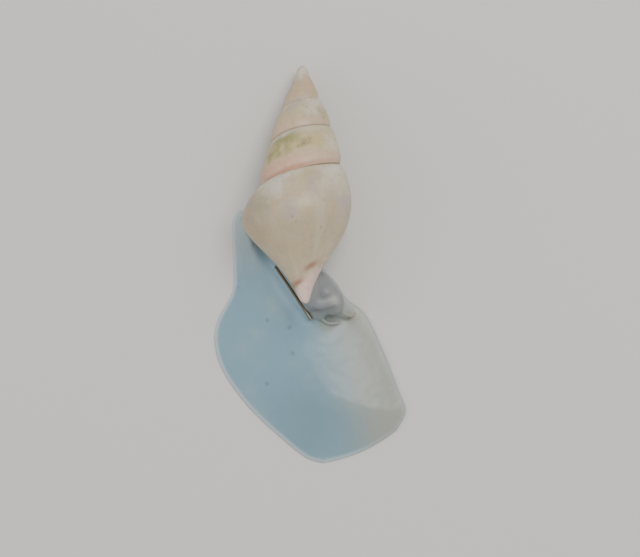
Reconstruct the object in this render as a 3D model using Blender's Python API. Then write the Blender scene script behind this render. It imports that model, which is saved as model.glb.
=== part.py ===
"""Plough snail at life size: a smooth, high-spired shell lying on its side, with the broad
foot spread out from under its outer lip, as when the snail is about to crawl.

Metres, +Z up. The floor is z = 0, the front of the snail is towards -Y and its left towards
-X. The origin is the middle of the whole animal's outline on the floor."""

import math

import bmesh
import bpy
from mathutils import Matrix, Vector

MM = 0.001
GAP = 0.3 * MM
ROOM = 1.1 * GAP

# Shell: the axis runs from the apex to the end of the siphonal canal.
APEX = Vector((-1.32, 34.7, 2.95)) * MM
CANAL_END = Vector((-0.77, -7.9, 11.8)) * MM
# The suture's distance from a point above the apex grows by the same ratio with each turn.
PITCH_RATIO = 1.325
PITCH_START = 10.6 * MM
TOP_SUTURE = 20.9 * MM
# Before the last half turn the suture stays back a little, and then it drops towards the lip.
SUTURE_DROP = 0.65 * MM
SUTURE_STAY = 0.6 * MM
LIP_TURN = 0.45
FIRST_TURN = LIP_TURN - 4.25
COLUMNS = 40
SPIRE_SHARES = (0.0, 0.1, 0.28, 0.5, 0.72, 0.9, 1.0)
BODY_SHARES = (0.0, 0.07, 0.22, 0.45, 0.7, 0.9, 1.0)
BASE_ROWS = 10
# Distance from the apex and mean radius there, in millimetres.
SHELL_PROFILE = (
    (0.0, 0.3), (1.2, 0.95), (4.2, 2.15), (7.65, 3.55), (11.5, 4.9), (15.5, 5.95), (18.2, 6.6),
    (20.9, 7.4), (24.3, 8.45), (26.9, 8.95), (29.0, 8.9), (31.2, 7.9), (33.5, 6.25), (35.8, 4.45),
    (38.0, 2.95), (40.3, 1.75), (42.4, 1.0), (43.6, 0.75),
)
FLARE_STARTS = 19.0 * MM
FLARE_FULL = 30.0 * MM
FLARE_PER_TURN = 0.62
WHORL_SWELL = 0.035
SUTURE_DEPTH = 0.05
SUTURE_WIDTH = 0.11

# Aperture: a plane that looks down, left and a little forward.
APERTURE_FROM_APEX = 27.0 * MM
APERTURE_DEPTH = 6.2 * MM
APERTURE_ANGLE = math.radians(155)
APERTURE_LEAN = math.radians(22)

# Foot: its left and right edges from the tail tip to the front corners, in millimetres.
FOOT_LEFT = (
    (-12.7, 9.5), (-13.7, 7.0), (-13.4, -1.0), (-13.7, -5.0), (-16.1, -9.7), (-16.7, -13.8),
    (-15.1, -19.0), (-10.5, -25.3), (-4.6, -30.8), (-0.6, -33.9), (2.2, -34.8),
)
FOOT_RIGHT = (
    (-12.7, 9.5), (-10.2, 8.0), (-6.2, 3.6), (-2.2, 0.9), (2.0, 0.2), (5.2, -3.0), (6.9, -6.2),
    (9.8, -8.9), (13.0, -15.5), (15.5, -22.0), (16.8, -25.8), (15.2, -29.1),
)
FRONT_BULGE = Vector((0.35, -0.9)) * MM
RIM_HEIGHT = 0.55 * MM
FOOT_THICKNESS = 2.6 * MM
MARGIN_WIDTH = 6.0 * MM
# The foot is raised along a line beneath the shell's lip.
MOUND_FROM = Vector((-6.6, 2.4)) * MM
MOUND_TO = Vector((-1.4, -6.2)) * MM
MOUND_HEIGHT = 2.5 * MM
MOUND_WIDTH = 5.4 * MM
FOOT_ROWS = 26
FOOT_COLUMNS = 12
TAIL_TIP = Vector((-12.7, 9.5, 0.0)) * MM
FOOT_AXIS = Vector((0.394, -0.919, 0.0))
TAIL_LENGTH = 13.5 * MM
FRONT_FROM_TAIL = 34.0 * MM

# Operculum: a thin horny plate on edge between the outer lip and the foot.
OPERCULUM_BACK = Vector((-6.0, -0.5, 5.9)) * MM
OPERCULUM_FRONT = Vector((0.3, -9.9, 6.6)) * MM
OPERCULUM_WIDTH = 5.6 * MM
OPERCULUM_THICKNESS = 0.55 * MM
OPERCULUM_DROP = 2.2 * MM

# Body between the foot and the shell, head, feelers and breathing tube.
STALK_AT = Vector((-3.3, 1.0, 4.4)) * MM
STALK_RADII = Vector((5.3, 10.0, 4.6)) * MM
NECK_AT = Vector((-0.7, -5.2, 6.4)) * MM
NECK_RADII = Vector((2.9, 3.7, 4.4)) * MM
HEAD_AT = Vector((2.9, -5.0, 4.9)) * MM
HEAD_RADII = Vector((3.2, 4.7, 2.7)) * MM
HEAD_TURN = math.radians(24)
TENTACLE_LEFT_PATH = ((1.7, -8.1, 4.9), (1.9, -9.7, 4.3), (3.3, -10.7, 3.7), (5.3, -10.5, 3.4))
TENTACLE_RIGHT_PATH = ((5.0, -8.3, 4.7), (6.4, -9.2, 4.1), (7.4, -9.4, 3.4), (8.1, -8.7, 2.9))
TENTACLE_ROOT = 0.4 * MM
TENTACLE_TIP = 0.25 * MM
SIPHON_PATH = ((-0.2, -6.6, 8.7), (1.9, -7.6, 8.9), (4.2, -6.6, 7.6))
SIPHON_RADII = (1.15, 1.1, 1.2)
SIPHON_WALL = 0.35 * MM

FLESH_COLOUR = (0.42, 0.47, 0.44)
SHELL_COLOUR = (0.52, 0.46, 0.36)
HORN_COLOUR = (0.11, 0.08, 0.04)
SHARP_ANGLE = math.radians(40)


def catmull_rom(a, b, c, d, t):
    """The point at t, from b to c, of the smooth curve through four points."""
    return 0.5 * (
        2 * b + (c - a) * t + (2 * a - 5 * b + 4 * c - d) * t * t + (3 * b - a - 3 * c + d) * t ** 3
    )


def smoothstep(value, low, high):
    t = min(max((value - low) / (high - low), 0.0), 1.0)
    return t * t * (3 - 2 * t)


def curve_through(points, per_span=12):
    """Points along the smooth curve through these ones, ends included."""
    points = [Vector(p) for p in points]
    padded = [2 * points[0] - points[1]] + points + [2 * points[-1] - points[-2]]
    found = []
    for i in range(len(points) - 1):
        for step in range(per_span):
            found.append(catmull_rom(*padded[i:i + 4], step / per_span))
    found.append(points[-1])
    return found


def evenly(points, count):
    """This many points, equally far apart along a run of points."""
    lengths = [0.0]
    for a, b in zip(points, points[1:]):
        lengths.append(lengths[-1] + (b - a).length)
    found = []
    i = 0
    for k in range(count):
        want = lengths[-1] * k / (count - 1)
        while i < len(points) - 2 and lengths[i + 1] < want:
            i += 1
        t = (want - lengths[i]) / (lengths[i + 1] - lengths[i])
        found.append(points[i].lerp(points[i + 1], t))
    return found


def profile_radius(along):
    """The shell's mean radius this far from the apex."""
    x = along / MM
    table = SHELL_PROFILE
    x = min(max(x, table[0][0]), table[-1][0])
    i = 0
    while i < len(table) - 2 and table[i + 1][0] < x:
        i += 1
    slopes = []
    for j in (i, i + 1):
        before = table[max(j - 1, 0)]
        after = table[min(j + 1, len(table) - 1)]
        slopes.append((after[1] - before[1]) / (after[0] - before[0]))
    width = table[i + 1][0] - table[i][0]
    t = (x - table[i][0]) / width
    rise = (
        (2 * t ** 3 - 3 * t ** 2 + 1) * table[i][1]
        + (t ** 3 - 2 * t ** 2 + t) * width * slopes[0]
        + (3 * t ** 2 - 2 * t ** 3) * table[i + 1][1]
        + (t ** 3 - t ** 2) * width * slopes[1]
    )
    return rise * MM


# Shell

SHELL_AXIS = (CANAL_END - APEX).normalized()
SHELL_LENGTH = (CANAL_END - APEX).length
SHELL_UP = (Vector((0, 0, 1)) - SHELL_AXIS * SHELL_AXIS.z).normalized()
SHELL_LEFT = SHELL_AXIS.cross(SHELL_UP)


def suture(turn):
    """How far from the apex the suture lies at this turn, where turn 0 is on top."""
    even = (TOP_SUTURE + PITCH_START) * PITCH_RATIO ** turn - PITCH_START
    stay = SUTURE_STAY * math.exp(-(((turn + 0.45) / 0.28) ** 2))
    return even + SUTURE_DROP * smoothstep(turn, -0.3, 0.15) - stay


def shell_point(turn, along):
    """A point of the shell's outside. A larger turn lies further to the left, then below."""
    top = suture(turn) + PITCH_START
    bottom = suture(turn + 1) + PITCH_START
    from_suture = math.log((along + PITCH_START) / top) / math.log(bottom / top)
    to_suture = from_suture
    if turn < LIP_TURN - 1 + 1e-6:
        to_suture = min(from_suture, 1 - from_suture)
    groove = SUTURE_DEPTH * math.exp(-((to_suture / SUTURE_WIDTH) ** 2))
    swell = WHORL_SWELL * math.sin(math.pi * min(max(from_suture, 0.0), 1.0))
    flare = FLARE_PER_TURN * turn * smoothstep(along, FLARE_STARTS, FLARE_FULL)
    radius = profile_radius(along) * (1 + swell - groove + flare)
    angle = 2 * math.pi * turn
    out = SHELL_UP * math.cos(angle) + SHELL_LEFT * math.sin(angle)
    return APEX + SHELL_AXIS * along + out * radius


def shell_rows(turn):
    """Distances from the apex of the points down one column of the shell."""
    top = suture(turn)
    if turn < LIP_TURN - 1 - 1e-6:
        bottom = suture(turn + 1)
        return [top + (bottom - top) * share for share in SPIRE_SHARES]
    parting = suture(LIP_TURN)
    grown = turn - (LIP_TURN - 1)
    waist = parting + (top + (SHELL_LENGTH - top) * 0.45 - parting) * grown
    rows = [top + (waist - top) * share for share in BODY_SHARES]
    return rows + [waist + (SHELL_LENGTH - waist) * (k + 1) / BASE_ROWS for k in range(BASE_ROWS)]


def build_shell():
    """Winds the strip of whorls from the apex to the lip, then cuts the aperture and the flat."""
    bm = bmesh.new()
    first = round(FIRST_TURN * COLUMNS)
    last = round(LIP_TURN * COLUMNS)
    spire_rows = len(SPIRE_SHARES) - 1
    columns = {}
    for column in range(last, first - 1, -1):
        turn = column / COLUMNS
        verts = []
        for row, along in enumerate(shell_rows(turn)):
            if row == spire_rows and column + COLUMNS in columns:
                verts.append(columns[column + COLUMNS][0])
            else:
                verts.append(bm.verts.new(shell_point(turn, along)))
        columns[column] = verts
    for column in range(first, last):
        a = columns[column]
        b = columns[column + 1]
        for row in range(min(len(a), len(b)) - 1):
            bm.faces.new((a[row], a[row + 1], b[row + 1], b[row]))
    behind_lip = columns[last - COLUMNS][spire_rows + 1:]
    bm.faces.new(columns[last] + behind_lip[::-1])
    bm.faces.new([columns[column][-1] for column in range(last, last - COLUMNS - 1, -1)])
    start = columns[first][:spire_rows]
    crown = [columns[column][0] for column in range(first, first + COLUMNS + 1)]
    apex = bm.verts.new(APEX)
    ring = start[::-1] + crown[1:]
    for a, b in zip(ring, ring[1:] + ring[:1]):
        bm.faces.new((a, b, apex))
    bmesh.ops.recalc_face_normals(bm, faces=bm.faces)
    aperture_out = SHELL_UP * math.cos(APERTURE_ANGLE) + SHELL_LEFT * math.sin(APERTURE_ANGLE)
    aperture_at = APEX + SHELL_AXIS * APERTURE_FROM_APEX + aperture_out * APERTURE_DEPTH
    aperture_normal = aperture_out * math.cos(APERTURE_LEAN) + SHELL_AXIS * math.sin(APERTURE_LEAN)
    slice_off(bm, aperture_at, aperture_normal)
    slice_off(bm, Vector((0, 0, 0)), Vector((0, 0, -1)))
    return mesh_object("shell", bm)


def slice_off(bm, point, normal):
    """Cuts away what lies on the normal's side of a plane, and closes the cut."""
    parts = bm.verts[:] + bm.edges[:] + bm.faces[:]
    cut = bmesh.ops.bisect_plane(
        bm, geom=parts, dist=1e-8, plane_co=point, plane_no=normal, clear_outer=True
    )
    edges = [e for e in cut["geom_cut"] if isinstance(e, bmesh.types.BMEdge)]
    if edges:
        bmesh.ops.contextual_create(bm, geom=edges)
    bmesh.ops.recalc_face_normals(bm, faces=bm.faces)


def mesh_object(name, bm):
    mesh = bpy.data.meshes.new(name)
    bm.to_mesh(mesh)
    bm.free()
    obj = bpy.data.objects.new(name, mesh)
    bpy.context.scene.collection.objects.link(obj)
    return obj


# Foot

def foot_sides():
    left = evenly(curve_through([Vector(p) * MM for p in FOOT_LEFT]), 241)
    right = evenly(curve_through([Vector(p) * MM for p in FOOT_RIGHT]), 241)
    return left, right


LEFT_SIDE, RIGHT_SIDE = foot_sides()


def foot_plan(t, s):
    """A point of the foot seen from above: t from tail to front, s from left to right."""
    place = t * (len(LEFT_SIDE) - 1)
    i = min(int(place), len(LEFT_SIDE) - 2)
    left = LEFT_SIDE[i].lerp(LEFT_SIDE[i + 1], place - i)
    right = RIGHT_SIDE[i].lerp(RIGHT_SIDE[i + 1], place - i)
    return left.lerp(right, s) + FRONT_BULGE * 4 * s * (1 - s) * smoothstep(t, 0.7, 1.0)


FOOT_OUTLINE = (
    [foot_plan(k / 120, 0.0) for k in range(120)]
    + [foot_plan(1.0, k / 40) for k in range(40)]
    + [foot_plan(1 - k / 120, 1.0) for k in range(120)]
)


def to_margin(point):
    """How far a point of the foot is from its edge."""
    return min((point - q).length for q in FOOT_OUTLINE)


def to_mound(point):
    """Distance of a point from the line along which the foot is raised."""
    line = MOUND_TO - MOUND_FROM
    share = min(max((point - MOUND_FROM).dot(line) / line.length_squared, 0.0), 1.0)
    return (point - MOUND_FROM - line * share).length


def foot_height(point):
    crown = FOOT_THICKNESS * (1 - math.exp(-((to_margin(point) / MARGIN_WIDTH) ** 1.3)))
    mound = MOUND_HEIGHT * math.exp(-((to_mound(point) / MOUND_WIDTH) ** 2))
    return RIM_HEIGHT + crown + mound * smoothstep(crown, 0.0, 0.4 * FOOT_THICKNESS)


def foot_steps():
    """Places from tail to front, closer together near both ends."""
    return [0.5 - 0.5 * math.cos(math.pi * (k / FOOT_ROWS) ** 0.95) for k in range(FOOT_ROWS + 1)]


def build_foot():
    """The whole foot as one flat-soled solid."""
    bm = bmesh.new()
    grid = []
    for row, t in enumerate(foot_steps()):
        line = []
        for column in range(FOOT_COLUMNS + 1):
            if row == 0 and column:
                line.append(line[0])
                continue
            s = 0.5 - 0.5 * math.cos(math.pi * column / FOOT_COLUMNS)
            plan = foot_plan(t, s)
            line.append(bm.verts.new((plan.x, plan.y, foot_height(plan))))
        grid.append(line)
    for a, b in zip(grid, grid[1:]):
        for k in range(FOOT_COLUMNS):
            corners = [a[k], b[k], b[k + 1], a[k + 1]]
            bm.faces.new(list(dict.fromkeys(corners)))
    rim = [e for e in bm.edges if e.is_boundary]
    skirt = bmesh.ops.extrude_edge_only(bm, edges=rim)
    low = [v for v in skirt["geom"] if isinstance(v, bmesh.types.BMVert)]
    for vert in low:
        vert.co.z = 0.0
    floor_edges = [e for e in skirt["geom"] if isinstance(e, bmesh.types.BMEdge) and e.is_boundary]
    bmesh.ops.contextual_create(bm, geom=floor_edges)
    bmesh.ops.recalc_face_normals(bm, faces=bm.faces)
    return mesh_object("foot", bm)


# Joining and parting

def boolean(obj, other, operation):
    """Changes a mesh object by another one, and keeps only its largest closed surface."""
    modifier = obj.modifiers.new("join", "BOOLEAN")
    modifier.object = other
    modifier.operation = operation
    modifier.solver = "EXACT"
    graph = bpy.context.evaluated_depsgraph_get()
    mesh = bpy.data.meshes.new_from_object(obj.evaluated_get(graph))
    obj.modifiers.clear()
    obj.data = mesh
    keep_largest(obj)


def keep_largest(obj):
    bm = bmesh.new()
    bm.from_mesh(obj.data)
    left = set(bm.faces)
    pieces = []
    while left:
        found = {left.pop()}
        waiting = list(found)
        while waiting:
            face = waiting.pop()
            for edge in face.edges:
                for near in edge.link_faces:
                    if near in left:
                        left.discard(near)
                        found.add(near)
                        waiting.append(near)
        pieces.append(found)
    pieces.sort(key=lambda faces: sum(face.calc_area() for face in faces))
    for faces in pieces[:-1]:
        bmesh.ops.delete(bm, geom=list(faces), context="FACES")
    bm.to_mesh(obj.data)
    bm.free()


def room_round(obj):
    """A copy whose surface stands a gap outside the object's, to cut its neighbours with."""
    mesh = obj.data.copy()
    for vert, normal in zip(mesh.vertices, [v.normal.copy() for v in obj.data.vertices]):
        vert.co += normal * ROOM
    copy = bpy.data.objects.new(obj.name + "_room", mesh)
    bpy.context.scene.collection.objects.link(copy)
    return copy


def cut_back(obj, *rooms):
    """Cuts an object back to the thin gap round each of its neighbours."""
    for room in rooms:
        boolean(obj, room, "DIFFERENCE")


def clear_of_floor(obj):
    """Cuts away what would reach down to the floor."""
    bm = bmesh.new()
    bm.from_mesh(obj.data)
    slice_off(bm, Vector((0, 0, GAP)), Vector((0, 0, -1)))
    bm.to_mesh(obj.data)
    bm.free()


def centre(pieces):
    """Moves all pieces together until the middle of their outline from above is the origin."""
    points = [vert.co for piece in pieces for vert in piece.data.vertices]
    middle_x = (min(p.x for p in points) + max(p.x for p in points)) / 2
    middle_y = (min(p.y for p in points) + max(p.y for p in points)) / 2
    for piece in pieces:
        piece.data.transform(Matrix.Translation((-middle_x, -middle_y, 0)))


def ellipsoid(name, at, radii, turn=0.0, segments=32, rings=16):
    bm = bmesh.new()
    bmesh.ops.create_uvsphere(bm, u_segments=segments, v_segments=rings, radius=1.0)
    bmesh.ops.scale(bm, vec=radii, verts=bm.verts)
    bmesh.ops.rotate(bm, cent=(0, 0, 0), matrix=Matrix.Rotation(turn, 3, "Z"), verts=bm.verts)
    bmesh.ops.translate(bm, vec=at, verts=bm.verts)
    return mesh_object(name, bm)


def tube(name, points, radii, sides=16, wall=None):
    """A round tube along a smooth curve, tapering through these radii. A wall gives it a mouth."""
    path = curve_through(points, per_span=4)
    steps = len(path) - 1
    frames = []
    across = Vector((0, 0, 1))
    for k, at in enumerate(path):
        ahead = (path[min(k + 1, steps)] - path[max(k - 1, 0)]).normalized()
        across = (across - ahead * across.dot(ahead)).normalized()
        place = k / steps * (len(radii) - 1)
        i = min(int(place), len(radii) - 2)
        radius = radii[i] + (radii[i + 1] - radii[i]) * (place - i)
        frames.append((at, across, ahead.cross(across), radius))
    if wall:
        for at, across, beside, radius in (frames[-1], frames[-2]):
            frames.append((at, across, beside, radius - wall))
    bm = bmesh.new()
    rings = []
    for at, across, beside, radius in frames:
        angles = [2 * math.pi * side / sides for side in range(sides)]
        points_round = [at + (across * math.cos(a) + beside * math.sin(a)) * radius for a in angles]
        rings.append([bm.verts.new(p) for p in points_round])
    for a, b in zip(rings, rings[1:]):
        for k in range(sides):
            bm.faces.new((a[k], a[k - 1], b[k - 1], b[k]))
    bm.faces.new(rings[0])
    bm.faces.new(rings[-1])
    bmesh.ops.recalc_face_normals(bm, faces=bm.faces)
    return mesh_object(name, bm)


def part_foot(foot):
    """Parts the foot by two thin cuts across it."""
    bands = (
        ("foot_metapodium", None, TAIL_LENGTH),
        ("foot_mesopodium", TAIL_LENGTH, FRONT_FROM_TAIL),
        ("foot_propodium", FRONT_FROM_TAIL, None),
    )
    pieces = []
    for name, start, end in bands:
        bm = bmesh.new()
        bm.from_mesh(foot.data)
        if start is not None:
            slice_off(bm, TAIL_TIP + FOOT_AXIS * (start + GAP / 2), -FOOT_AXIS)
        if end is not None:
            slice_off(bm, TAIL_TIP + FOOT_AXIS * (end - GAP / 2), FOOT_AXIS)
        pieces.append(mesh_object(name, bm))
    return pieces


BESIDE_OPERCULUM = Vector((0, 0, 1)).cross(OPERCULUM_BACK - OPERCULUM_FRONT).normalized()


def build_operculum():
    """A long oval plate standing on edge, with its top edge between the two named ends."""
    top = OPERCULUM_FRONT - OPERCULUM_BACK
    along = top.normalized()
    down = along.cross(BESIDE_OPERCULUM)
    if down.z > 0:
        down = -down
    bm = bmesh.new()
    bmesh.ops.create_circle(bm, cap_ends=True, segments=28, radius=1.0)
    middle = (OPERCULUM_BACK + OPERCULUM_FRONT) / 2 + down * OPERCULUM_DROP
    for vert in bm.verts:
        x, y = vert.co.x, vert.co.y
        pointed = 1 - 0.12 * x
        vert.co = middle + along * x * top.length / 2 + down * y * pointed * OPERCULUM_WIDTH / 2
    face = bm.faces[:]
    solid = bmesh.ops.extrude_face_region(bm, geom=face)
    verts = [v for v in solid["geom"] if isinstance(v, bmesh.types.BMVert)]
    bmesh.ops.translate(bm, vec=BESIDE_OPERCULUM * OPERCULUM_THICKNESS, verts=verts)
    bmesh.ops.recalc_face_normals(bm, faces=bm.faces)
    return mesh_object("operculum", bm)


def body_form(name, extra=0.0):
    """The body between the foot and the shell, with its neck, grown on all sides by extra.

    Its left side is flat where the operculum lies against it."""
    more = Vector((extra, extra, extra))
    form = ellipsoid(name, STALK_AT, STALK_RADII + more)
    neck = ellipsoid("neck", NECK_AT, NECK_RADII + more, segments=24, rings=12)
    boolean(form, neck, "UNION")
    bpy.data.objects.remove(neck, do_unlink=True)
    bm = bmesh.new()
    bm.from_mesh(form.data)
    slice_off(bm, OPERCULUM_FRONT - BESIDE_OPERCULUM * (GAP - extra), BESIDE_OPERCULUM)
    bm.to_mesh(form.data)
    bm.free()
    return form


def head_form(name, extra=0.0):
    more = Vector((extra, extra, extra))
    return ellipsoid(name, HEAD_AT, HEAD_RADII + more, HEAD_TURN, segments=24, rings=14)


def siphon_form(name, extra=0.0):
    return tube(
        name,
        [Vector(p) * MM for p in SIPHON_PATH],
        [r * MM + extra for r in SIPHON_RADII],
        wall=None if extra else SIPHON_WALL,
    )


def build_tentacle(name, path):
    points = [Vector(p) * MM for p in path]
    return tube(name, points, (TENTACLE_ROOT, TENTACLE_TIP), sides=10)


def finish(obj, colour, roughness):
    """Gives a piece its own material and smooth shading."""
    material = bpy.data.materials.new(obj.name)
    material.use_nodes = True
    shader = material.node_tree.nodes["Principled BSDF"]
    shader.inputs["Base Color"].default_value = (*colour, 1.0)
    shader.inputs["Roughness"].default_value = roughness
    shader.inputs["Metallic"].default_value = 0.0
    obj.data.materials.clear()
    obj.data.materials.append(material)
    obj.data.shade_smooth()
    obj.data.set_sharp_from_angle(angle=SHARP_ANGLE)


# The whole animal

for old in list(bpy.data.objects):
    bpy.data.objects.remove(old, do_unlink=True)

shell = build_shell()
shell_room = room_round(shell)
operculum = build_operculum()
cut_back(operculum, shell_room)
operculum_room = room_round(operculum)
foot = build_foot()
foot_room = room_round(foot)
cut_back(foot, shell_room, operculum_room)
stalk = body_form("body_stalk")
stalk_room = body_form("body_stalk_room", ROOM)
cut_back(stalk, shell_room, foot_room, operculum_room)
clear_of_floor(stalk)
head = head_form("head")
head_room = head_form("head_room", ROOM)
cut_back(head, shell_room, stalk_room, foot_room, operculum_room)
siphon = siphon_form("siphon")
siphon_room = siphon_form("siphon_room", ROOM)
cut_back(siphon, shell_room, stalk_room, head_room)
tentacles = [
    build_tentacle("tentacle_left", TENTACLE_LEFT_PATH),
    build_tentacle("tentacle_right", TENTACLE_RIGHT_PATH),
]
for tentacle in tentacles:
    cut_back(tentacle, head_room, foot_room, siphon_room, operculum_room)
foot_parts = part_foot(foot)
for spare in (shell_room, operculum_room, foot_room, stalk_room, head_room, siphon_room, foot):
    bpy.data.objects.remove(spare, do_unlink=True)

for piece in (stalk, head, siphon, *tentacles, *foot_parts):
    finish(piece, FLESH_COLOUR, 0.35)
finish(shell, SHELL_COLOUR, 0.4)
finish(operculum, HORN_COLOUR, 0.45)
centre([shell, operculum, stalk, head, siphon, *tentacles, *foot_parts])
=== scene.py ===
"""Plough snail, life size: the looks of the shell, the horny door and the living skin."""

import math

import bmesh
import bpy
from mathutils import Matrix, Vector, noise
from mathutils.kdtree import KDTree


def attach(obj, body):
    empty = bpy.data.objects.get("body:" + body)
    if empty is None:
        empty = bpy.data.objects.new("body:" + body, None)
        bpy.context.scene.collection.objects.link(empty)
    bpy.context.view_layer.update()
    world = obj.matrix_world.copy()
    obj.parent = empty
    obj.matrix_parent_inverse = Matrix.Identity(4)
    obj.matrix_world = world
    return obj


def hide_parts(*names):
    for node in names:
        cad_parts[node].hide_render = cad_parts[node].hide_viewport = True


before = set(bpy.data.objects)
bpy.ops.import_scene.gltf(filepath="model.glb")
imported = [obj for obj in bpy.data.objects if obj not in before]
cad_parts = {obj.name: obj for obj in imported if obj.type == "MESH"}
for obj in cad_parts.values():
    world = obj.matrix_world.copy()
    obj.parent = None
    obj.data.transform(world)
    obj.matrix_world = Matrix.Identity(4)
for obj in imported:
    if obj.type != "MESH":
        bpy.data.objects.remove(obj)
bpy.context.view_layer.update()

# Shell
# One thin tube of lime wound five times round its axis and lying on its side. Each whorl laps
# the one before it at the suture. It is grown at the lip, so faint growth lines run across it.

MM = 0.001
APEX = Vector((-1.401, 34.75, 2.95)) * MM
CANAL_END = Vector((-0.851, -7.85, 11.8)) * MM
PITCH_RATIO = 1.325
PITCH_START = 10.6 * MM
TOP_SUTURE = 20.9 * MM
SUTURE_DROP = 0.65 * MM
SUTURE_STAY = 0.6 * MM
LIP_TURN = 0.45
TURNS = 5.32
FINE_COLUMNS = 150
WHORL_ROWS = 42
BASE_ROWS = 56
LEDGE_ROWS = 6
LEDGE_ROUND = 0.22
WAIST_SHARE = 0.45
SHELL_PROFILE = (
    (0.0, 0.75), (1.2, 1.0), (4.2, 2.15), (7.65, 3.55), (11.5, 4.9), (15.5, 5.95), (18.2, 6.6),
    (20.9, 7.4), (24.3, 8.45), (26.9, 8.95), (29.0, 8.9), (31.2, 7.9), (33.5, 6.25), (35.8, 4.45),
    (38.0, 2.95), (40.3, 1.75), (42.4, 1.0), (43.6, 0.75),
)
FLARE_STARTS = 19.0 * MM
FLARE_FULL = 30.0 * MM
FLARE_PER_TURN = 0.62
WHORL_SWELL = 0.035
GROOVE_DEPTH = 0.045
GROOVE_WIDTH = 0.11
SUTURE_DEPTH = 0.016
SUTURE_WIDTH = 0.018
COLLAR_AT = 0.055
COLLAR_HEIGHT = 0.009
COLLAR_WIDTH = 0.03
FASCIOLE_AT = 1.5
FASCIOLE_WIDTH = 0.05
FASCIOLE_GROOVE_AT = 1.44
FASCIOLE_GROOVE_WIDTH = 0.02
FASCIOLE_RELIEF = 0.02
BLUNT_TIP = 0.7 * MM
APERTURE_FROM_APEX = 27.0 * MM
APERTURE_DEPTH = 6.2 * MM
APERTURE_ANGLE = math.radians(155)
APERTURE_LEAN = math.radians(22)
LIP_THICKNESS = 0.45 * MM
MOUTH_HOLLOW = 1.4 * MM
HOLLOW_STARTS = 18 * MM
HOLLOW_FULL = 24 * MM
CANAL_STARTS = 26 * MM
CANAL_FULL = 37 * MM
NO_GAP = 0.0001 * MM

SHELL_AXIS = (CANAL_END - APEX).normalized()
SHELL_LENGTH = (CANAL_END - APEX).length
SHELL_UP = (Vector((0, 0, 1)) - SHELL_AXIS * SHELL_AXIS.z).normalized()
SHELL_LEFT = SHELL_AXIS.cross(SHELL_UP)


def smoothstep(value, low, high):
    t = min(max((value - low) / (high - low), 0.0), 1.0)
    return t * t * (3 - 2 * t)


def hump(value, middle, width):
    return math.exp(-(((value - middle) / width) ** 2))


def profile_radius(along):
    """The shell's mean radius this far from the apex."""
    table = SHELL_PROFILE
    x = min(max(along / MM, table[0][0]), table[-1][0])
    i = 0
    while i < len(table) - 2 and table[i + 1][0] < x:
        i += 1
    slopes = []
    for j in (i, i + 1):
        before = table[max(j - 1, 0)]
        after = table[min(j + 1, len(table) - 1)]
        slopes.append((after[1] - before[1]) / (after[0] - before[0]))
    width = table[i + 1][0] - table[i][0]
    t = (x - table[i][0]) / width
    radius = (
        (2 * t ** 3 - 3 * t ** 2 + 1) * table[i][1]
        + (t ** 3 - 2 * t ** 2 + t) * width * slopes[0]
        + (3 * t ** 2 - 2 * t ** 3) * table[i + 1][1]
        + (t ** 3 - t ** 2) * width * slopes[1]
    )
    return radius * MM


def suture(turn):
    """How far from the apex the suture lies at this turn, where turn 0 is on top."""
    even = (TOP_SUTURE + PITCH_START) * PITCH_RATIO ** turn - PITCH_START
    drop = SUTURE_DROP * smoothstep(turn, -0.3, 0.15)
    return max(even + drop - SUTURE_STAY * hump(turn, -0.45, 0.28), 0.0)


def along_whorl(turn, share):
    """Distance from the apex, for a share of 0 to 1 down a whorl and of 1 to 2 over the base."""
    top = suture(turn)
    bottom = suture(turn + 1)
    grown = turn - (LIP_TURN - 1)
    if grown > 0:
        parting = suture(LIP_TURN)
        bottom = parting + (top + (SHELL_LENGTH - top) * WAIST_SHARE - parting) * grown
    if share > 1:
        return bottom + (SHELL_LENGTH - bottom) * (share - 1)
    eased = share - 0.12 * math.sin(2 * math.pi * share)
    return top + (bottom - top) * eased


def below_suture(turn, along):
    """How far down its whorl a point is: 0 at the suture above it and 1 at the one below."""
    top = suture(turn) + PITCH_START
    bottom = max(suture(turn + 1) + PITCH_START, top + 1e-6)
    return math.log((along + PITCH_START) / top) / math.log(bottom / top)


def growth(turn, along):
    """Relief of the growth lines, as a share of the radius."""
    lean = turn + 0.012 * math.sin(along / MM * 0.45)
    broad = noise.noise(Vector((lean * 34, along / MM * 0.03, 5.0)))
    fine = noise.noise(Vector((lean * 95, along / MM * 0.05, 9.0)))
    return 0.005 * broad + 0.003 * fine


def shell_point(turn, along):
    down = below_suture(turn, along)
    to_suture = down
    if turn < LIP_TURN - 1 + 1e-6:
        to_suture = min(down, 1 - down)
    groove = GROOVE_DEPTH * hump(to_suture, 0, GROOVE_WIDTH)
    groove += SUTURE_DEPTH * hump(to_suture, 0, SUTURE_WIDTH)
    collar = COLLAR_HEIGHT * hump(down, COLLAR_AT, COLLAR_WIDTH)
    swell = WHORL_SWELL * math.sin(math.pi * min(max(down, 0.0), 1.0))
    flare = FLARE_PER_TURN * turn * smoothstep(along, FLARE_STARTS, FLARE_FULL)
    fasciole = hump(down, FASCIOLE_AT, FASCIOLE_WIDTH)
    fasciole -= hump(down, FASCIOLE_GROOVE_AT, FASCIOLE_GROOVE_WIDTH)
    relief = swell - groove + collar + flare + FASCIOLE_RELIEF * fasciole
    radius = profile_radius(along) * (1 + relief)
    radius *= math.sqrt(min(along / BLUNT_TIP, (SHELL_LENGTH - along) / BLUNT_TIP, 1.0))
    angle = 2 * math.pi * turn
    out = SHELL_UP * math.cos(angle) + SHELL_LEFT * math.sin(angle)
    return APEX + SHELL_AXIS * along + out * (radius * (1 + growth(turn, along)))


def flat_grid(bm, columns, rows):
    """Adds a grid from -1 to 1 each way, and gives its corners."""
    return bmesh.ops.create_grid(bm, x_segments=columns, y_segments=rows, size=1.0)["verts"]


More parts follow.
